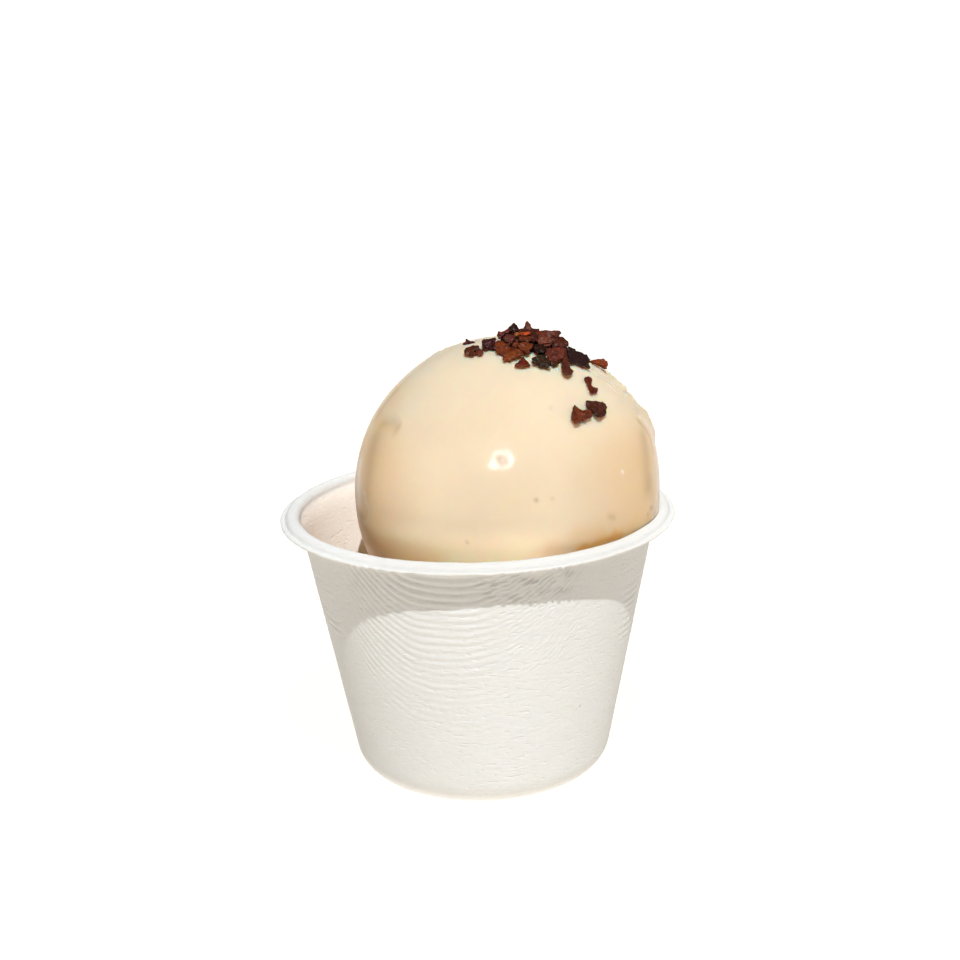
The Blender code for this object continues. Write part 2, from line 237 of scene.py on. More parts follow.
# Nibs that lie apart: the CAD node, then for each lobe its place right of and up from the node's middle,
# its height above the ball, and the rest as above.
LOOSE_NIBS = {
    "nib_1": [((0, 0, 0.35), 0.9, 0.3, (66, 26, 24),
               ((-1.1, -0.5), (-0.5, -0.05), (-0.45, 0.6), (-0.2, 0.6), (0.5, 0.2), (1.4, -0.2),
                (1.0, -0.6)))],
    "nib_2": [((-0.44, 0.3, 0.6), 1.5, 0.6, (74, 37, 20),
               ((-1.82, 0.0), (-1.58, 0.61), (-1.0, 0.94), (-0.24, 1.2), (0.67, 1.25), (1.2, 1.0),
                (1.1, 0.5), (0.8, 0.1), (0.5, -0.55), (-0.17, -0.94), (-0.7, -0.88), (-1.35, -0.54))),
              ((0.85, -0.05, 0.5), 1.2, 0.6, (96, 46, 30), ((-0.75, -0.1), (-0.1, 0.7), (0.4, 0.35),
               (0.66, -0.4), (0.43, -0.95), (0.0, -1.0), (-0.6, -0.5)))],
    "nib_3": [((-0.12, 0.15, 0.45), 1.4, 0.95, (98, 38, 24),
               ((0.2, 1.25), (1.6, -0.55), (1.3, -0.7), (-1.5, -0.75), (-1.6, -0.5), (-0.55, 0.5)))],
    "nib_4": [((0, 0, 0.65), 1.5, 0.0, (118, 56, 28),
               ((-1.7, 0.4), (-1.3, 0.7), (0.9, 0.9), (1.55, 0.4), (1.7, -0.4), (1.5, -1.1), (0.95, -1.15),
                (-0.26, -0.4)))],
    "nib_5": [((0, 0, 0.4), 1.0, 1.0, (86, 32, 8),
               ((-1.2, 1.2), (-1.0, 1.66), (-0.34, 1.7), (0.17, 1.55), (0.42, 1.08), (0.1, 0.4),
                (0.0, -0.27), (0.5, -0.65), (1.2, -0.5), (1.25, -1.0), (0.9, -1.55), (0.17, -1.75),
                (-0.4, -1.48), (-0.3, -1.0), (-0.65, -0.4), (-0.8, 0.1), (-0.55, 0.6), (-1.1, 0.8)))],
    "nib_6": [((0, 0, 0.6), 1.9, 0.95, (66, 31, 19),
               ((-2.0, 1.37), (-1.63, 1.6), (-0.2, 1.48), (1.3, 1.37), (1.76, 0.85), (2.0, 0.33),
                (1.72, -0.26), (1.76, -0.72), (0.72, -1.63), (-0.33, -1.53), (-0.85, -0.72),
                (-1.7, -0.07)))],
    "nib_7": [((0, 0, 0.6), 1.9, 0.95, (102, 50, 31),
               ((-1.96, -0.07), (-1.63, 0.98), (-1.17, 1.76), (-0.46, 1.24), (0.33, 0.78), (1.9, 0.85),
                (2.1, 0.2), (1.63, -0.72), (0.59, -1.1), (-0.33, -1.5), (-1.44, -1.57), (-1.63, -1.1)))],
}
# The nibs and crumbs that those hide for the most part: how many, their sizes, how high above the core
# they are and their voxel; then the patch that they cover.
HEAP_FILL = ((24, (1.1, 1.7), 0.2, 1.3 * NIB_VOXEL), (60, (0.3, 0.6), 0.3, NIB_VOXEL))
HEAP_PATCH = (0.2, 1.3)
HEAP_PATCH_REACH = (6.9, 5.0)
HEAP_COLOURS = ((76, 38, 32), (58, 26, 18), (96, 44, 20), (34, 16, 18), (84, 36, 16), (66, 32, 26))
HEAP_SPIRAL = 2.4  # radians from each to the next
CORE_HEIGHT = 0.9
# the core is packed crumbs; its dark colour also stands for painted shading in the gaps between the nibs
CORE_COLOUR_AND_GAP_SHADING = (40, 17, 9)

# Lights: watts (or strength of the sun), azimuth to the right of the front, elevation, and size in
# metres (or the sun's angle in degrees).
LIGHTS_AIM = (0, 0, 0.05)
KEY = (4.2, 7, 56, 0.8)
KEY_COLOUR = (0.92, 0.97, 1.02)
FILL = (1.2, 75, 48, 0.9)
FILL_DISTANCE = 1.2
# These make only the broken highlight on the ball.
GLINTS = ((4.4, -10.0, 33.4, 0.13), (6.2, -4.6, 39.2, 0.155), (1.0, 0.2, 35.5, 0.07))
GLINT_DISTANCE = 0.8
FLOOR_GLOW = (1.0, 0.945, 0.865)
FLOOR_GLOW_STRENGTH = 1.13
SKY_STRENGTHS = (1.0, 0.13)  # at the horizon and a little above it
SKY_DIM_FROM = 0.06

CAMERA_PLACE = (0, -0.41903, 0.17996)
CAMERA_AIM = (0.000673, 0, 0.058177)
CAMERA_ROLL = -0.027131
CAMERA_LENS = 85


# ---------------------------------------------------------------- tools


def smooth_step(x, low, high):
    """0 up to low and 1 from high on, with a smooth rise between."""
    t = np.clip((np.asarray(x, float) - low) / (high - low), 0, 1)
    return t * t * (3 - 2 * t)


def unit(vectors):
    """The same vectors at length 1."""
    return vectors / np.linalg.norm(vectors, axis=-1, keepdims=True)


def lumps(points, size, seed):
    """Noise between about -1 and 1 at each point, whose lumps are so many units across."""
    shift = Vector((seed * 11.3, seed * 7.1, seed * 3.7))
    points = np.asarray(points, float) / size
    values = [noise.noise(Vector(point) + shift) for point in points.reshape(-1, 3)]
    return np.array(values).reshape(points.shape[:-1])


def arc(centre_r, centre_z, radius, start, end, count):
    """Points (r, z) on part of a circle, from one angle in degrees to another."""
    angles = np.radians(np.linspace(start, end, count))
    return np.stack([centre_r + radius * np.cos(angles), centre_z + radius * np.sin(angles)], 1)


def bezier(start, control, end, count):
    """A bend from start to end, drawn towards control."""
    t = np.linspace(0, 1, count)[:, None]
    start, control, end = map(np.array, (start, control, end))
    return (1 - t) ** 2 * start + 2 * t * (1 - t) * control + t * t * end


def spaced(points, spacing):
    """The same line, with its points at even distances; its first and last stay."""
    points = np.asarray(points, float)
    along = np.concatenate([[0], np.cumsum(np.linalg.norm(np.diff(points, axis=0), axis=1))])
    places = np.linspace(0, along[-1], max(2, round(along[-1] / spacing) + 1))
    return np.stack([np.interp(places, along, points[:, i]) for i in range(points.shape[1])], 1)


def longitudes(fine_from, fine_to, fine_step, coarse_step):
    """Longitudes all the way round, close together in front and further apart behind."""
    fine = np.linspace(fine_from, fine_to, round((fine_to - fine_from) / fine_step) + 1)
    behind = 360 - (fine_to - fine_from)
    coarse = np.linspace(fine_to, fine_to + behind, round(behind / coarse_step) + 1)[1:-1]
    return np.concatenate([fine, coarse])


def round_axis(longitude):
    """Unit vectors (x, y) at longitudes in degrees."""
    turn = np.radians(longitude)
    return np.stack([np.sin(turn), -np.cos(turn)], -1)


def direction(longitude, latitude):
    """Unit vectors (x, y, z) at longitudes and latitudes in degrees."""
    lon, lat = np.radians(longitude), np.radians(latitude)
    return np.stack([np.sin(lon) * np.cos(lat), -np.cos(lon) * np.cos(lat), np.sin(lat) + 0 * lon], -1)


def closed_solid(first, rings, last):
    """Points and faces of a closed solid: a pole, rings of as many points each, and a pole."""
    rows, columns = rings.shape[:2]
    points = np.concatenate([[first], rings.reshape(-1, 3), [last]])
    here = np.arange(columns)
    after = (here + 1) % columns
    faces = [(0, 1 + b, 1 + a) for a, b in zip(here, after)]
    for row in range(rows - 1):
        low, high = 1 + row * columns, 1 + (row + 1) * columns
        faces += zip(low + here, low + after, high + after, high + here)
    end = 1 + (rows - 1) * columns
    faces += [(end + a, end + b, len(points) - 1) for a, b in zip(here, after)]
    return points, faces


def new_mesh(name, points, faces, unit_length=MM):
    """A mesh of points whose unit is so many metres."""
    mesh = bpy.data.meshes.new(name)
    mesh.from_pydata((points * unit_length).tolist(), [], [tuple(map(int, face)) for face in faces])
    return mesh


def add_piece(mesh, material):
    """A piece that rides on the root body, with its faces turned outwards."""
    shape = bmesh.new()
    shape.from_mesh(mesh)
    if shape.calc_volume(signed=True) < 0:
        bmesh.ops.reverse_faces(shape, faces=shape.faces)
    shape.to_mesh(mesh)
    shape.free()
    mesh.shade_smooth()
    mesh.materials.append(material)
    piece = bpy.data.objects.new(mesh.name, mesh)
    bpy.context.scene.collection.objects.link(piece)
    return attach(piece, "root")


def stored(items, name, per_item=1, kind=float):
    """What Blender keeps under that name for each vertex or corner, as one list of numbers."""
    values = np.empty(len(items) * per_item, kind)
    items.foreach_get(name, values)
    return values


def paint(mesh, name, values):
    """Stores one number at each vertex, for a material to read."""
    layer = mesh.attributes.new(name, "FLOAT", "POINT")
    layer.data.foreach_set("value", np.asarray(values, np.float32))


# ---------------------------------------------------------------- materials


class Nodes:
    """Short ways to make the nodes of one material."""

    def __init__(self, name):
        self.material = bpy.data.materials.new(name)
        self.material.use_nodes = True
        self.tree = self.material.node_tree
        self.shader = self.tree.nodes["Principled BSDF"]

    def link(self, value, socket):
        """Links another node's output to the socket, or sets the socket to a plain value."""
        if isinstance(value, bpy.types.NodeSocket):
            self.tree.links.new(value, socket)
        else:
            socket.default_value = value

    def set(self, **inputs):
        """Sets or links the shader's sockets, whose names have _ for each space here."""
        for name, value in inputs.items():
            self.link(value, self.shader.inputs[name.replace("_", " ")])

    def new(self, kind, **settings):
        """A new node of that kind with its own settings."""
        node = self.tree.nodes.new(kind)
        for name, value in settings.items():
            setattr(node, name, value)
        return node

    def place(self):
        """The point on the surface, in metres."""
        return self.new("ShaderNodeTexCoord").outputs["Object"]

    def stretched(self, scale, turn=(0, 0, 0)):
        """The point on the surface, scaled and turned, which squashes a texture the other way."""
        node = self.new("ShaderNodeMapping")
        self.link(self.place(), node.inputs["Vector"])
        node.inputs["Scale"].default_value = scale
        node.inputs["Rotation"].default_value = turn
        return node.outputs["Vector"]

    def noise(self, size, detail=2.0, roughness=0.5, vector=None):
        """A noise texture, 0 to 1, whose lumps are so many millimetres across."""
        node = self.new("ShaderNodeTexNoise")
        self.link(vector or self.place(), node.inputs["Vector"])
        node.inputs["Scale"].default_value = 1 / (size * MM)
        node.inputs["Detail"].default_value = detail
        node.inputs["Roughness"].default_value = roughness
        return node.outputs["Fac"]

    def painted(self, name, output="Fac"):
        """What was stored on the mesh under that name."""
        return self.new("ShaderNodeAttribute", attribute_name=name).outputs[output]

    def math(self, operation, *values):
        node = self.new("ShaderNodeMath", operation=operation)
        for value, socket in zip(values, node.inputs):
            self.link(value, socket)
        return node.outputs[0]

    def span(self, value, low, high, to_low=0.0, to_high=1.0):
        """The value from low to high spread from to_low to to_high, and held there beyond them."""
        node = self.new("ShaderNodeMapRange")
        for given, socket in zip((value, low, high, to_low, to_high), node.inputs):
            self.link(given, socket)
        return node.outputs[0]

    def mix(self, share, first, second, blend="MIX"):
        """Two colours mixed, or blended in another way, by the share of the second."""
        node = self.new("ShaderNodeMix", data_type="RGBA", blend_type=blend)
        colours = [(*c, 1.0) if isinstance(c, tuple) and len(c) == 3 else c for c in (first, second)]
        for value, socket in zip((share, *colours), (node.inputs[0], node.inputs[6], node.inputs[7])):
            self.link(value, socket)
        return node.outputs[2]

    def bump(self, height, distance, strength=1.0):
        """A bump whose height, 0 to 1, stands for so many millimetres."""
        node = self.new("ShaderNodeBump")
        self.link(height, node.inputs["Height"])
        node.inputs["Distance"].default_value = distance * MM
        self.link(strength, node.inputs["Strength"])
        return node.outputs["Normal"]


def linear(red, green, blue):
    """A colour given as sRGB numbers up to 255, in linear light."""
    parts = (red / 255, green / 255, blue / 255)
    return tuple(c / 12.92 if c <= 0.04045 else ((c + 0.055) / 1.055) ** 2.4 for c in parts)


def pulp_material():
    n = Nodes("pulp")
    cloudy = n.noise(9, 3)
    mottled = n.noise(0.8, 4, 0.6)
    colour = n.mix(cloudy, linear(216, 214, 209), linear(221, 219, 214))
    colour = n.mix(n.span(mottled, 0.35, 0.7, 0, 0.35), colour, linear(210, 207, 200))
    # painted bounce light: the inner wall is lighter and warmer
    colour = n.mix(n.painted("painted_bounce_inside"), colour, linear(248, 236, 224))
    # painted floor light: lighter on the lowest part of the wall and underneath
    colour = n.mix(n.painted("painted_floor_light_foot"), colour, linear(242, 240, 235))
    # painted shading along the top of the rim at the front
    colour = n.mix(n.painted("painted_shading_crest"), colour, linear(208, 204, 198))
    # dark fibres
    for longitude, level, size in WALL_SPECKS:
        place = (*(round_axis(longitude) * wall_radius(level)), level)
        away = n.new("ShaderNodeVectorMath", operation="DISTANCE")
        n.link(n.place(), away.inputs[0])
        away.inputs[1].default_value = [part * MM for part in place]
        near = n.span(away.outputs["Value"], size * MM, 0.5 * size * MM, 0.0, 0.6)
        colour = n.mix(near, colour, linear(112, 106, 98))
    # level and slanted fibres, with short dents between
    fibres = n.noise(1.5, 4, 0.6, n.stretched((1, 1, 3.4)))
    slanted = n.noise(1.3, 4, 0.6, n.stretched((1, 1, 3.5), (0, 0.75, 0)))
    dashes = n.span(n.noise(1.7, 1, 0.5, n.stretched((1, 1, 2.8))), 0.58, 0.74)
    height = n.math("ADD", n.math("MULTIPLY", fibres, 0.5), n.math("MULTIPLY", slanted, 0.2))
    height = n.math("SUBTRACT", height, n.math("MULTIPLY", dashes, 0.46))
    n.set(
        Base_Color=colour,
        Roughness=n.span(mottled, 0.2, 0.8, 0.72, 0.92),
        Normal=n.bump(height, 0.14, n.span(cloudy, 0.3, 0.7, 0.5, 1.1)),
    )
    n.shader.inputs["Specular IOR Level"].default_value = 0.3
    n.shader.inputs["Subsurface Weight"].default_value = 0.4
    n.shader.inputs["Subsurface Radius"].default_value = (1.0, 0.85, 0.7)
    n.shader.inputs["Subsurface Scale"].default_value = 0.8 * MM
    return n.material


def sorbet_material():
    n = Nodes("sorbet")
    cloudy = n.noise(14, 2)
    colour = n.mix(n.span(cloudy, 0.3, 0.7), linear(210, 191, 163), linear(214, 196, 168))
    # painted bounce light: lighter and warmer low on the front
    colour = n.mix(n.painted("painted_glow_low_front"), colour, linear(255, 233, 199))
    # painted orange-tinted light, low at the left
    colour = n.mix(n.painted("painted_warm_light"), colour, linear(255, 212, 160))
    # amber-brown: real marks at the lower right, and painted shading on both flanks and in creases
    colour = n.mix(n.painted("syrup_marks_and_painted_shading"), colour, linear(212, 162, 96))
    # dark specks, crumbs and lines, and painted shading on the flanks
    colour = n.mix(n.painted("specks_and_painted_shade"), colour, linear(140, 112, 82))
    # painted reflections on both flanks and two painted glints
    colour = n.mix(n.painted("painted_reflection_and_glint"), colour, linear(222, 212, 204))
    n.set(
        Base_Color=colour,
        Roughness=n.span(n.noise(3.0, 2), 0.3, 0.7, 0.30, 0.42),
        Normal=n.bump(n.noise(0.9, 3, 0.5), 0.02, 0.35),
    )
    n.shader.inputs["IOR"].default_value = 1.36
    n.shader.inputs["Specular IOR Level"].default_value = 0.08
    n.shader.inputs["Subsurface Weight"].default_value = 1.0
    n.shader.inputs["Subsurface Radius"].default_value = (1.0, 0.5, 0.25)
    n.shader.inputs["Subsurface Scale"].default_value = 3.6 * MM
    n.shader.inputs["Coat Weight"].default_value = 0.2
    n.shader.inputs["Coat Roughness"].default_value = 0.03
    n.shader.inputs["Coat IOR"].default_value = 1.34
    return n.material


def nib_material():
    n = Nodes("cocoa_nib")
    tint = n.painted("tint", "Color")
    grain = n.noise(0.35, 4, 0.6)
    patches = n.noise(1.1, 3, 0.55)
    darker = n.mix(1.0, tint, (0.28, 0.24, 0.24), "MULTIPLY")
    lighter = n.mix(1.0, tint, (1.8, 1.6, 1.5), "MULTIPLY")
    colour = n.mix(n.span(patches, 0.42, 0.68, 0, 0.7), tint, darker)
    colour = n.mix(n.span(grain, 0.56, 0.72, 0, 0.45), colour, lighter)
    n.set(
        Base_Color=colour,
        Roughness=n.span(grain, 0.3, 0.7, 0.36, 0.62),
        Normal=n.bump(n.noise(0.22, 3, 0.6), 0.03, 0.6),
    )
    n.shader.inputs["Specular IOR Level"].default_value = 0.2
    n.shader.inputs["Subsurface Weight"].default_value = 0.2
    n.shader.inputs["Subsurface Radius"].default_value = (1.0, 0.35, 0.15)
    n.shader.inputs["Subsurface Scale"].default_value = 0.4 * MM
    return n.material


# ---------------------------------------------------------------- the cup


def wall_radius(height, inset=0.0):
    """Radius of the cup's wall at a height, inset from its outer face along the slanted wall's normal."""
    return WALL_RADIUS_AT_FOOT + WALL_LEAN * height - inset * math.hypot(1, WALL_LEAN)


def foot_arc(inset):
    """The rounded corner from the base up to the wall, inset from its outer face."""
    wall_angle = -math.degrees(math.atan(WALL_LEAN))
    return arc(wall_radius(FOOT_ROUND, FOOT_ROUND), FOOT_ROUND, FOOT_ROUND - inset, -90, wall_angle, 30)


def cup_profile():
    """Points from the middle of the inner floor, over the rim and down to the middle of the base."""
    inner_foot, outer_foot = foot_arc(CUP_WALL), foot_arc(0)[::-1]
    inner_wall = (wall_radius(FLARE_START - 1.5, CUP_WALL), FLARE_START - 1.5)
    inner_bend = (wall_radius(FLARE_START + 0.6, CUP_WALL), FLARE_START + 0.6)
    dome = arc(DOME_CREST, DOME_BASE, DOME_RADIUS, 180, 14, 60)
    lip_z = CUP_TOP - LIP_TOP_DROP - LIP_THICK / 2
    lip = arc(LIP_RADIUS - LIP_THICK / 2, lip_z, LIP_THICK / 2, 90, -90, 9)
    groove = arc(DOME_CREST, DOME_BASE, DOME_RADIUS - CUP_WALL, 0, 180, 20)
    under_lip = (groove[0][0], lip[-1][1])
    outer_bend = (wall_radius(FLARE_START + 0.9), FLARE_START + 0.9)
    outer_wall = (wall_radius(FLARE_START - 0.8), FLARE_START - 0.8)
    fine_end = (wall_radius(RIPPLE_LOWEST - 3), RIPPLE_LOWEST - 3)
    parts = (  # each with the spacing of its points
        (((1.0, CUP_WALL), inner_foot[0]), 3.0),
        (inner_foot, 1.4),
        ((inner_foot[-1], inner_wall), 2.0),
        (bezier(inner_wall, inner_bend, dome[0], 20), 0.45),
        (dome, 0.24),
        ((dome[-1], lip[0]), 0.25),
        (lip, 0.16),
        ((lip[-1], under_lip), 0.35),
        ((under_lip, groove[0]), 0.3),
        (groove, 0.3),
        (bezier(groove[-1], outer_bend, outer_wall, 20), 0.3),
        ((outer_wall, fine_end), 0.26),
        ((fine_end, outer_foot[0]), 0.6),
        (outer_foot, 0.6),
        ((outer_foot[-1], (1.0, 0.0)), 3.0),
    )
    rows = [spaced(points, spacing) for points, spacing in parts]
    return np.concatenate([rows[0]] + [row[1:] for row in rows[1:]])


def ripple_height(around, height):
    """How far the ripples stand out; around is the distance along the wall from the front, to the right."""
    places = np.stack([around, height, 0 * height], -1)

    def wander(size, seed, squash=(1, 1, 1)):
        return lumps(places * squash, size, seed)

    # the nested ridges: one ridge is where the level is the same
    side = around - math.radians(RIPPLE_LONGITUDE) * wall_radius(40)
    rounding = np.where(side < 0, *RIPPLE_ROUNDING)
    rise = RIPPLE_FLANK_SLOPE * (np.abs(side) - rounding * np.arctan(np.abs(side) / rounding))
    level = height - rise + 0.45 * wander(7.0, 1)
    wave = np.sin(2 * np.pi * level / RIPPLE_PITCH)
    wave += 0.2 * np.sin(4 * np.pi * level / RIPPLE_PITCH + 1.2)

    # on the right they break up into finer strokes
    strokes = np.sin(2 * np.pi * (level + 0.45 * wander(1.5, 3)) / STROKE_PITCH)
    under_rim = smooth_step(height, 43, 45.5)
    strokes *= (0.75 + 0.4 * under_rim) * np.maximum(0.9 + 2.0 * wander(1.5, 4), 0)
    wave += (strokes - wave) * smooth_step(around + 2 * under_rim, -1, 5)

    # they are deepest under the rim and fade at the sides and lower down
    strength = 0.022 + 0.036 * smooth_step(height, 20, 39) + 0.066 * smooth_step(height, 43, 46)
    patchy = 1.1 - 0.5 * smooth_step(height, 22, 30)
    strength *= 0.85 + patchy * wander(3.2, 2, (1, 1.6, 1))
    strength *= smooth_step(around, -29, -24) * (1 - smooth_step(around, 18, 22))
    strength *= smooth_step(level, RIPPLE_LOWEST - 3, RIPPLE_LOWEST + 3)

    # level ridges at the sides and behind, and one small ring at the right
    plain = np.sin(2 * np.pi * (height + 0.5 * wander(5.0, 6)) / RIPPLE_PITCH)
    plain *= smooth_step(np.abs(around + 1), 31, 35) * smooth_step(height, 26, 31)
    plain *= np.maximum(0.5 + 1.4 * wander(6.0, 7, (0.6, 1, 1)), 0)
    ring = np.abs(np.hypot(around - 36.4, height - 47.2) - 1.2)
    return strength * wave + 0.08 * plain + 0.06 * np.exp(-(ring / 0.4) ** 2)


def make_cup(material):
    profile = cup_profile()
    columns = longitudes(-58, 46, 0.5, 2.2)
    out = round_axis(columns)
    widest = np.argmax(profile[:, 0])
    along = unit(np.gradient(profile, axis=0))
    normal = np.stack([-along[:, 1], along[:, 0]], 1)
    normal *= np.sign(normal[widest, 0])
    row = np.arange(len(profile))[:, None]
    radius = np.repeat(profile[:, :1], len(columns), 1)
    height = np.repeat(profile[:, 1:], len(columns), 1)
    outside = (row > widest) & (radius > 20)
    rim = smooth_step(height, 49, 52)

    # the pulp's uneven surface, pushed in or out along the wall's normal
    places = np.stack([radius * out[:, 0], radius * out[:, 1], height], -1)
    ripples = ripple_height(np.radians(columns) * radius, height)
    push = np.where(outside, ripples + 0.025 * lumps(places * (1, 1, 2.5), 1.4, 8), 0)
    push += (0.03 + 0.07 * rim) * lumps(places, 6.0, 5) + 0.05 * rim * lumps(places, 2.4, 9)
    push *= smooth_step(height, 0.1, 3.0)
    radius = radius + normal[:, :1] * push
    height = height + normal[:, 1:] * push
    rings = np.stack([radius * out[:, 0], radius * out[:, 1], height], -1)
    mesh = new_mesh("pulp_cup", *closed_solid((0, 0, CUP_WALL), rings, (0, 0, 0)))

    # mask of the painted bounce light on the inner wall
    painted_bounce_inside = np.where(outside, 0, 1 - smooth_step(height, DOME_BASE - 1.5, CUP_TOP - 0.3))
    painted_bounce_inside = np.where(row < widest - 12, painted_bounce_inside, 0)
    # mask of the painted shading along the top of the rim at the front
    painted_shading_crest = smooth_step(height, 50.8, 51.8) * smooth_step(np.cos(np.radians(columns - 12)), 0.45, 0.95)
    # mask of the painted floor light on the lowest wall and the underside
    painted_floor_light_foot = np.where(outside, 1 - smooth_step(height, 0.5, 6.0), 0)
    paint(mesh, "painted_bounce_inside", [1, *painted_bounce_inside.ravel(), 0])
    paint(mesh, "painted_shading_crest", [0, *painted_shading_crest.ravel(), 0])
    paint(mesh, "painted_floor_light_foot", [0, *painted_floor_light_foot.ravel(), 1])
    cup = add_piece(mesh, material)
    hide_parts("cup")


# ---------------------------------------------------------------- the sorbet


def angle_from(towards, longitude, latitude):
    """Degrees between unit vectors and a place on the ball."""
    return np.degrees(np.arccos(np.clip(towards @ direction(longitude, latitude), -1, 1)))


def near_line(towards, line, half_width):
    """1 on a line of longitudes and latitudes on the ball, falling to 0 over a few half-widths."""
    stops = direction(*np.array(line, float).T)
    ends = zip(stops[:-1], stops[1:]) if len(stops) > 1 else [(stops[0], stops[0])]
    closest = np.full(towards.shape[:-1], -1.0)
    for start, end in ends:
        for share in np.linspace(0, 1, 12):
            closest = np.maximum(closest, towards @ unit(start + (end - start) * share))
    away = np.degrees(np.arccos(np.clip(closest, -1, 1)))
    return np.exp(-((away / half_width) ** 2))


def ball_marks_and_painted_light(towards):
    """What is painted on the ball at unit vectors, a dictionary of shares: real amber-brown marks and dark
    specks, painted shading on both flanks and in creases, painted bounce light low in front and at the lower
    left, and painted reflections and glints.
    """
    longitude = np.degrees(np.arctan2(towards[..., 0], -towards[..., 1]))
    latitude = np.degrees(np.arcsin(np.clip(towards[..., 2], -1, 1)))
    low = 1 - smooth_step(latitude, 16, 42)
    behind = smooth_step(np.abs(longitude), 110, 170)
    front = 1 - smooth_step(np.abs(longitude), 80, 115)
    on_bed = 1 - smooth_step(latitude, -45, -32)
    sunk = 1 - smooth_step(latitude, -10, 3)
    left = smooth_step(-longitude, 28 + 30 * sunk, 72 + 3 * sunk)
    right = smooth_step(longitude, 18, 60)
    far_left = smooth_step(-longitude, 60, 80) * (1 - smooth_step(latitude, 42, 58))
    half_left = smooth_step(-longitude, 12, 35) * (1 - smooth_step(-longitude, 50, 65))
    # painted shading on both flanks
    painted_edge_shading = 0.12 * smooth_step(-longitude, 55, 75) + 0.10 * smooth_step(longitude, 15, 30)
    # mask of the painted bounce light, low on the front
    bounce = (1 - smooth_step(latitude, -9, 5)) * (1 - 0.85 * smooth_step(longitude, 2, 26))
    # the wide painted shading on both flanks and at the upper left limb, put into the amber-brown share
    painted_side_shading = low * (0.55 * left + 0.42 * right) + (1 - low) * 0.25 * far_left
    marks_and_light = {
        "syrup_marks_and_painted_shading": painted_side_shading * (1 - behind) + 0.2 * low * behind,
        "specks_and_painted_shade": low * painted_edge_shading * (1 - behind),
        "painted_reflection_and_glint": np.zeros_like(latitude),
        "painted_warm_light": np.zeros_like(latitude),
        "painted_glow_low_front": bounce * front + 0.2 * low * half_left,
    }
    for name, strength, half_width, line in BALL_MARKS_AND_PAINTED_LIGHT:
        marks_and_light[name] = marks_and_light[name] + strength * near_line(towards, line, half_width)
    return {name: np.clip(shares * (1 - on_bed), 0, 1) for name, shares in marks_and_light.items()}


def ball_relief(towards):
    """How far dents, ridges and torn skin stand out of the ball at unit vectors."""
    places = towards * BALL_RADIUS
    relief = 0.10 * lumps(places, 9.0, 11) + 0.015 * lumps(places, 2.2, 12)
    for height, half_width, line in BALL_RELIEF:
        relief += height * near_line(towards, line, half_width)
    torn = np.abs(lumps(places, 1.7, 14)) + 0.5 * lumps(places, 0.8, 15) - 0.2
    for longitude, latitude, height, half_width in BALL_RAGS:
        away = angle_from(towards, longitude, latitude)
        relief += height * torn * np.exp(-((away / half_width) ** 2))
    return relief


def ball_radius(towards):
    """The ball's radius at unit vectors, with its wide swellings and hollows."""
    radius = np.full(towards.shape[:-1], BALL_RADIUS)
    for longitude, latitude, height, half_width in BALL_FORMS:
        radius += height * np.exp(-((angle_from(towards, longitude, latitude) / half_width) ** 2))
    return radius


def above_ball(out, lift):
    """The point so high above the ball's surface in the direction out."""
    return BALL_CENTRE + out * (ball_radius(out) + lift)


def room_radius(height):
    """How far from the cup's axis the sorbet may reach at a height; above the rim it is free."""
    profile = cup_profile()
    inner = profile[:np.argmax(profile[:, 1]) + 1]
    radius = np.interp(height, inner[:, 1], inner[:, 0]) - SORBET_CLEARANCE
    return np.where(height > CUP_TOP, 1e3, radius)


def reach_in_cup(out, height):
    """Distance from the ball's axis to the cup's wall in the directions out, at a height."""
    along = out @ BALL_CENTRE[:2]
    return np.sqrt(along**2 - BALL_CENTRE[:2] @ BALL_CENTRE[:2] + room_radius(height) ** 2) - along


def ring_round_ball(out, reach, height):
    """Points at that reach from the ball's axis in the directions out."""
    return np.column_stack([BALL_CENTRE[:2] + out * reach[:, None], height + 0 * reach])


def bed_rings(out, collar):
    """Rings from the ball's lowest one out over the bed to the wall, and down the wall to the floor."""
    contact = np.linalg.norm(collar[:, :2] - BALL_CENTRE[:2], axis=1)
    wall = reach_in_cup(out, BED_LEVEL)
    shore = np.minimum(contact + BED_SLOPE, wall - 0.6)
    rings = []
    for share in np.linspace(0, 1, 8)[1:]:
        reach = contact + (shore - contact) * share**1.6
        height = collar[:, 2] + (BED_LEVEL - collar[:, 2]) * (1 - (1 - share) ** 1.6)
        rings.append(ring_round_ball(out, reach, height))
    for share in np.linspace(0, 1, 9)[1:]:
        reach = shore + (wall - shore) * share
        level = np.full_like(reach, BED_LEVEL + 0.25 * math.sin(math.pi * share) + 0.5 * share**6)
        level += 0.5 * lumps(np.column_stack([out * reach[:, None], level]), 5.0, 13)
        rings.append(ring_round_ball(out, reach, level))
    for height in np.linspace(BED_LEVEL - 2, FOOT_ROUND, 12):
        rings.append(ring_round_ball(out, reach_in_cup(out, height), height))
    for radius, height in foot_arc(CUP_WALL + BED_GAP)[::-1][5::5]:
        rings.append(np.column_stack([out * radius, height + 0 * wall]))
    return rings


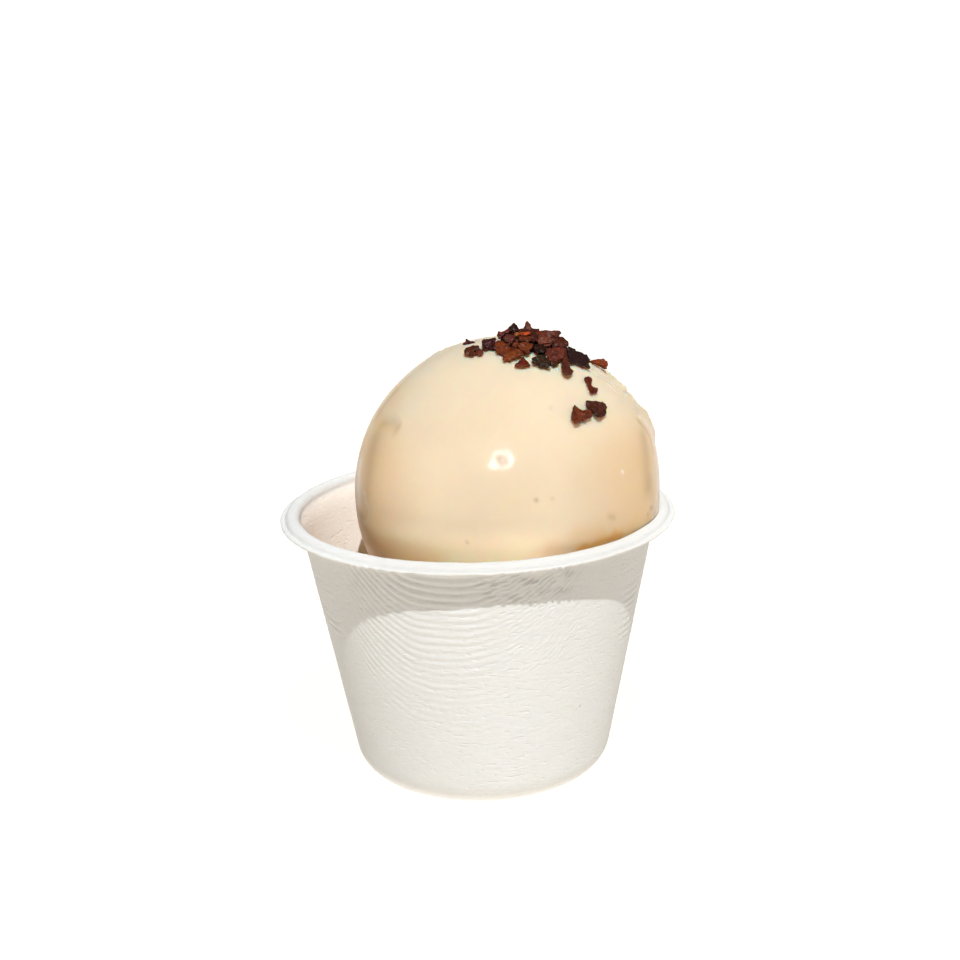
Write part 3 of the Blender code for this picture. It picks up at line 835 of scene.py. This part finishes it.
def make_sorbet(material):
    columns = longitudes(-105, 110, 0.7, 1.3)
    lowest = -math.degrees(math.asin((BALL_CENTRE[2] - BED_COLLAR + 1.5) / BALL_RADIUS))
    latitudes = np.concatenate([np.linspace(89.4, -26, 172), np.linspace(-26, lowest, 14)[1:]])
    towards = direction(columns[None, :], latitudes[:, None])
    radius = ball_radius(towards) + ball_relief(towards)
    ball = BALL_CENTRE + towards * radius[..., None]
    rings = np.array([*ball, *bed_rings(round_axis(columns), ball[-1])])
    # where the ball leans on the cup, it follows the wall and the rim
    from_axis = np.linalg.norm(rings[..., :2], axis=-1)
    held = np.minimum(1, room_radius(rings[..., 2]) / np.maximum(from_axis, 1e-6))
    rings[..., :2] *= held[..., None]
    top = above_ball(np.array((0.0, 0.0, 1.0)), 0)
    mesh = new_mesh("sorbet_ball", *closed_solid(top, rings, (0, 0, CUP_WALL + BED_GAP)))
    points = stored(mesh.vertices, "co", 3).reshape(-1, 3) / MM
    for name, shares in ball_marks_and_painted_light(unit(points - BALL_CENTRE)).items():
        paint(mesh, name, shares)
    sorbet = add_piece(mesh, material)
    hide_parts("sorbet")


# ---------------------------------------------------------------- the nibs


def over_place(x, y, lift):
    """The point so high above the ball at a place given from above, and the way out of the ball there."""
    across = np.array((x - BALL_CENTRE[0], y - BALL_CENTRE[1]))
    out = unit(np.array((*across, math.sqrt((BALL_RADIUS + lift) ** 2 - across @ across))))
    return above_ball(out, lift), out


def over_node(name, right, up, lift):
    """The same, under the middle of a CAD node and so far right of it and up, as seen from the front."""
    low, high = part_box(name)
    out = unit(np.array((low + high) / 2 / MM) + NIB_RIGHT * right + NIB_UP * up - BALL_CENTRE)
    return above_ball(out, lift), out


def lean_along(out, share):
    """How the depth of a nib changes to the right and up, so that it lies along the ball by that share."""
    slopes = -share * np.array((out @ NIB_RIGHT, out @ NIB_UP)) / max(out @ NIB_OUT, 0.1)
    return np.clip(slopes, -NIB_STEEPEST_LEAN, NIB_STEEPEST_LEAN)


def shard(outline, thick, rng, lean=(0.0, 0.0), axes=(NIB_RIGHT, NIB_UP, NIB_OUT)):
    """Points and faces of a broken piece round the origin, with uneven bevels in front and behind."""
    corners = np.array(outline, float)
    between = 0.5 * (corners + np.roll(corners, -1, axis=0))
    edge = np.stack([corners, between + rng.uniform(-0.13, 0.13, between.shape)], 1).reshape(-1, 2)
    middle = edge.mean(axis=0)
    count = len(edge)
    rings = []
    for scale, depth, uneven in NIB_RINGS:
        spread = scale * (1 + (scale < 1) * rng.uniform(-0.28, 0.15, (count, 1)))
        depths = thick * (depth + rng.uniform(-uneven, uneven, count))
        rings.append(np.column_stack([middle + (edge - middle) * spread, depths]))
    first, last = [(*(middle + rng.uniform(-0.3, 0.3, 2)), share * thick) for share in NIB_ENDS]
    points, faces = closed_solid(first, np.array(rings), last)
    points[:, 2] += points[:, :2] @ lean
    return points @ np.array(axes), faces


def random_shard(rng, size):
    """A broken piece of no set shape, turned anyhow."""
    corners = rng.integers(5, 8)
    turns = 2 * np.pi * (np.arange(corners) + rng.uniform(-0.3, 0.3, corners)) / corners
    reach = size * rng.uniform(0.7, 1.15, corners)[:, None] * rng.uniform((0.75, 0.5), (1.2, 0.8))
    axes = np.array(Matrix.Rotation(rng.uniform(0, 2 * math.pi), 3, Vector(rng.normal(size=3)).normalized()))
    outline = reach * np.stack([np.cos(turns), np.sin(turns)], 1)
    return shard(outline, size * rng.uniform(0.6, 1.1), rng, axes=axes)


def roughened(points, faces, voxel, seed):
    """The piece as an even mesh with a broken, grainy surface: its points and its faces of four corners."""
    piece = bpy.data.objects.new("shard", new_mesh("shard", points, faces, 1.0))
    bpy.context.scene.collection.objects.link(piece)
    remesh = piece.modifiers.new("even", "REMESH")
    remesh.mode = "VOXEL"
    remesh.voxel_size = voxel
    made = piece.evaluated_get(bpy.context.evaluated_depsgraph_get()).to_mesh()
    even = stored(made.vertices, "co", 3).reshape(-1, 3)
    normals = stored(made.vertices, "normal", 3).reshape(-1, 3)
    quads = stored(made.loops, "vertex_index", kind=int).reshape(-1, 4)
    bpy.data.objects.remove(piece)
    push = 0.12 * lumps(even, 0.9, seed) + 0.12 * (0.2 - np.abs(lumps(even, 0.55, seed + 1)))
    return even + normals * push[:, None], quads


def on_patch(middle, far, turn):
    """Where the heap is at a share of its reach and a turn in radians, seen from above."""
    x = middle[0] + HEAP_PATCH[0] + HEAP_PATCH_REACH[0] * far * np.cos(turn)
    y = middle[1] + HEAP_PATCH[1] + HEAP_PATCH_REACH[1] * far * np.sin(turn)
    return x, y


def heap_core(middle):
    """The crumbs packed under the nibs, as relief on a low mound that follows the ball."""
    turns = np.radians(np.arange(0, 360, 2.5))
    rings = []
    for share in (1.0, 1.0, *np.linspace(0.96, 0.03, 32)):
        x, y = on_patch(middle, share, turns)
        places = np.stack([x, y, 0 * x], 1)
        x = x + 0.5 * share * lumps(places, 1.6, 31)
        y = y + 0.5 * share * lumps(places, 1.6, 32)
        level = CORE_HEIGHT * (1 - share**3) + 0.55 * lumps(places, 0.9, 33) + 0.25 * lumps(places, 0.4, 34)
        lifts = np.maximum(level, 0.1) * min(1.0, 8 * (1.02 - share))
        if not rings:
            lifts -= 0.5  # the first ring lies under the ball's surface
        rings.append([over_place(*place)[0] for place in zip(x, y, lifts)])
    rings = np.array(rings)
    return closed_solid(rings[0].mean(axis=0) - (0, 0, 1), rings, rings[-1].mean(axis=0))


def join_nibs(name, nibs, material):
    """One piece from nibs, each given as points, faces and colour."""
    starts = np.cumsum([0] + [len(points) for points, _, _ in nibs])
    points = np.concatenate([points for points, _, _ in nibs])
    faces = [np.array(face) + start for start, (_, faces, _) in zip(starts, nibs) for face in faces]
    tints = [np.tile((*np.multiply(linear(*colour), NIB_WARMTH), 1.0), (len(points), 1))
             for points, _, colour in nibs]
    mesh = new_mesh(name, points, faces)
    layer = mesh.attributes.new("tint", "FLOAT_COLOR", "POINT")
    layer.data.foreach_set("color", np.concatenate(tints).ravel().astype(np.float32))
    return add_piece(mesh, material)


def make_heap(material):
    rng = np.random.default_rng(7)
    low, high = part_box("nib_heap")
    middle = np.array((low + high) / 2 / MM)
    # the core's dark colour also serves as painted shading in the gaps between the nibs
    nibs = [(*heap_core(middle), CORE_COLOUR_AND_GAP_SHADING)]
    for seed, ((x, y, lift), thick, lie, colour, outline) in enumerate(HEAP_NIBS.values()):
        place, out = over_place(middle[0] + x, middle[1] + y, lift)
        points, faces = shard(outline, thick, rng, lean_along(out, lie))
        points, faces = roughened(points, faces, NIB_VOXEL, seed)
        nibs.append((points + place, faces, colour))
    number = 0
    for count, sizes, lift, voxel in HEAP_FILL:
        for share in (np.arange(count) + 0.5) / count:
            far = math.sqrt(share)
            x, y = on_patch(middle, far, HEAP_SPIRAL * number)
            points, faces = random_shard(rng, rng.uniform(*sizes))
            points, faces = roughened(points, faces, voxel, 40 + number)
            place, _ = over_place(x, y, CORE_HEIGHT * (1 - far**3) + lift)
            nibs.append((points + place, faces, HEAP_COLOURS[number % len(HEAP_COLOURS)]))
            number += 1
    heap = join_nibs("heaped_nibs", nibs, material)
    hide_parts("nib_heap")


def make_loose_nibs(material):
    rng = np.random.default_rng(11)
    for number, (node, lobes) in enumerate(LOOSE_NIBS.items()):
        nibs = []
        for lobe, ((right, up, lift), thick, lie, colour, outline) in enumerate(lobes):
            place, out = over_node(node, right, up, lift)
            points, faces = shard(outline, thick, rng, lean_along(out, lie))
            points, faces = roughened(points, faces, 0.8 * NIB_VOXEL, 140 + 2 * number + lobe)
            nibs.append((points + place, faces, colour))
        nib = join_nibs(node.replace("nib", "loose_nib"), nibs, material)
        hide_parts(node)


# ---------------------------------------------------------------- stage


def add_light(name, kind, energy, azimuth, elevation, distance=1.5, **settings):
    """A light that looks at the part from an azimuth, to the right of the front, and an elevation."""
    data = bpy.data.lights.new(name, kind)
    data.energy = energy
    for key, value in settings.items():
        setattr(data, key, value)
    light = bpy.data.objects.new(name, data)
    towards = Vector(direction(azimuth, elevation))
    light.location = Vector(LIGHTS_AIM) + towards * distance
    light.rotation_euler = (-towards).to_track_quat("-Z", "Y").to_euler()
    bpy.context.scene.collection.objects.link(light)
    return light


def make_stage():
    shape = bmesh.new()
    bmesh.ops.create_circle(shape, cap_ends=True, segments=96, radius=8.0)
    mesh = bpy.data.meshes.new("floor")
    shape.to_mesh(mesh)
    shape.free()
    floor = bpy.data.objects.new("floor", mesh)
    floor.location.z = -0.1 * MM
    bpy.context.scene.collection.objects.link(floor)
    n = Nodes("floor")
    n.set(Base_Color=n.mix(n.noise(400, 2), (0.04, 0.04, 0.04), (0.05, 0.05, 0.05)))
    n.shader.inputs["Emission Color"].default_value = (*FLOOR_GLOW, 1)
    n.shader.inputs["Emission Strength"].default_value = FLOOR_GLOW_STRENGTH
    n.shader.inputs["Roughness"].default_value = 0.9
    n.shader.inputs["Specular IOR Level"].default_value = 0.1
    mesh.materials.append(n.material)


def make_sky():
    """A whitish studio, brightest near the floor."""
    world = bpy.data.worlds.new("studio")
    bpy.context.scene.world = world
    world.use_nodes = True
    tree = world.node_tree
    place = tree.nodes.new("ShaderNodeTexCoord")
    parts = tree.nodes.new("ShaderNodeSeparateXYZ")
    tree.links.new(place.outputs["Generated"], parts.inputs[0])
    ramp = tree.nodes.new("ShaderNodeMapRange")
    tree.links.new(parts.outputs["Z"], ramp.inputs[0])
    for socket, value in zip(list(ramp.inputs)[1:5], (0.0, SKY_DIM_FROM, *SKY_STRENGTHS)):
        socket.default_value = value
    tree.links.new(ramp.outputs[0], tree.nodes["Background"].inputs["Strength"])
    tree.nodes["Background"].inputs["Color"].default_value = (1, 1, 1, 1)


def make_lights():
    strength, azimuth, elevation, angle = KEY
    key = add_light("key", "SUN", strength, azimuth, elevation, angle=math.radians(angle), color=KEY_COLOUR)
    key.visible_glossy = False
    for number, (watts, azimuth, elevation, size) in enumerate(GLINTS):
        glint = add_light(f"glint_{number}", "AREA", watts, azimuth, elevation, GLINT_DISTANCE,
                          shape="DISK", size=size)
        glint.visible_diffuse = False
    watts, azimuth, elevation, size = FILL
    add_light("fill", "AREA", watts, azimuth, elevation, FILL_DISTANCE, shape="DISK", size=size)


def make_camera():
    """A camera that looks down a little from the front."""
    data = bpy.data.cameras.new("camera")
    data.lens = CAMERA_LENS
    data.sensor_width = 36
    camera = bpy.data.objects.new("camera", data)
    towards = Vector(CAMERA_AIM) - Vector(CAMERA_PLACE)
    turn = towards.to_track_quat("-Z", "Y").to_matrix().to_4x4()
    camera.matrix_world = Matrix.Translation(CAMERA_PLACE) @ turn @ Matrix.Rotation(CAMERA_ROLL, 4, "Z")
    bpy.context.scene.collection.objects.link(camera)
    bpy.context.scene.camera = camera


bpy.context.scene.view_settings.view_transform = "Standard"
make_camera()
make_stage()
make_sky()
make_lights()
make_cup(pulp_material())
make_sorbet(sorbet_material())
cocoa = nib_material()
make_heap(cocoa)
make_loose_nibs(cocoa)
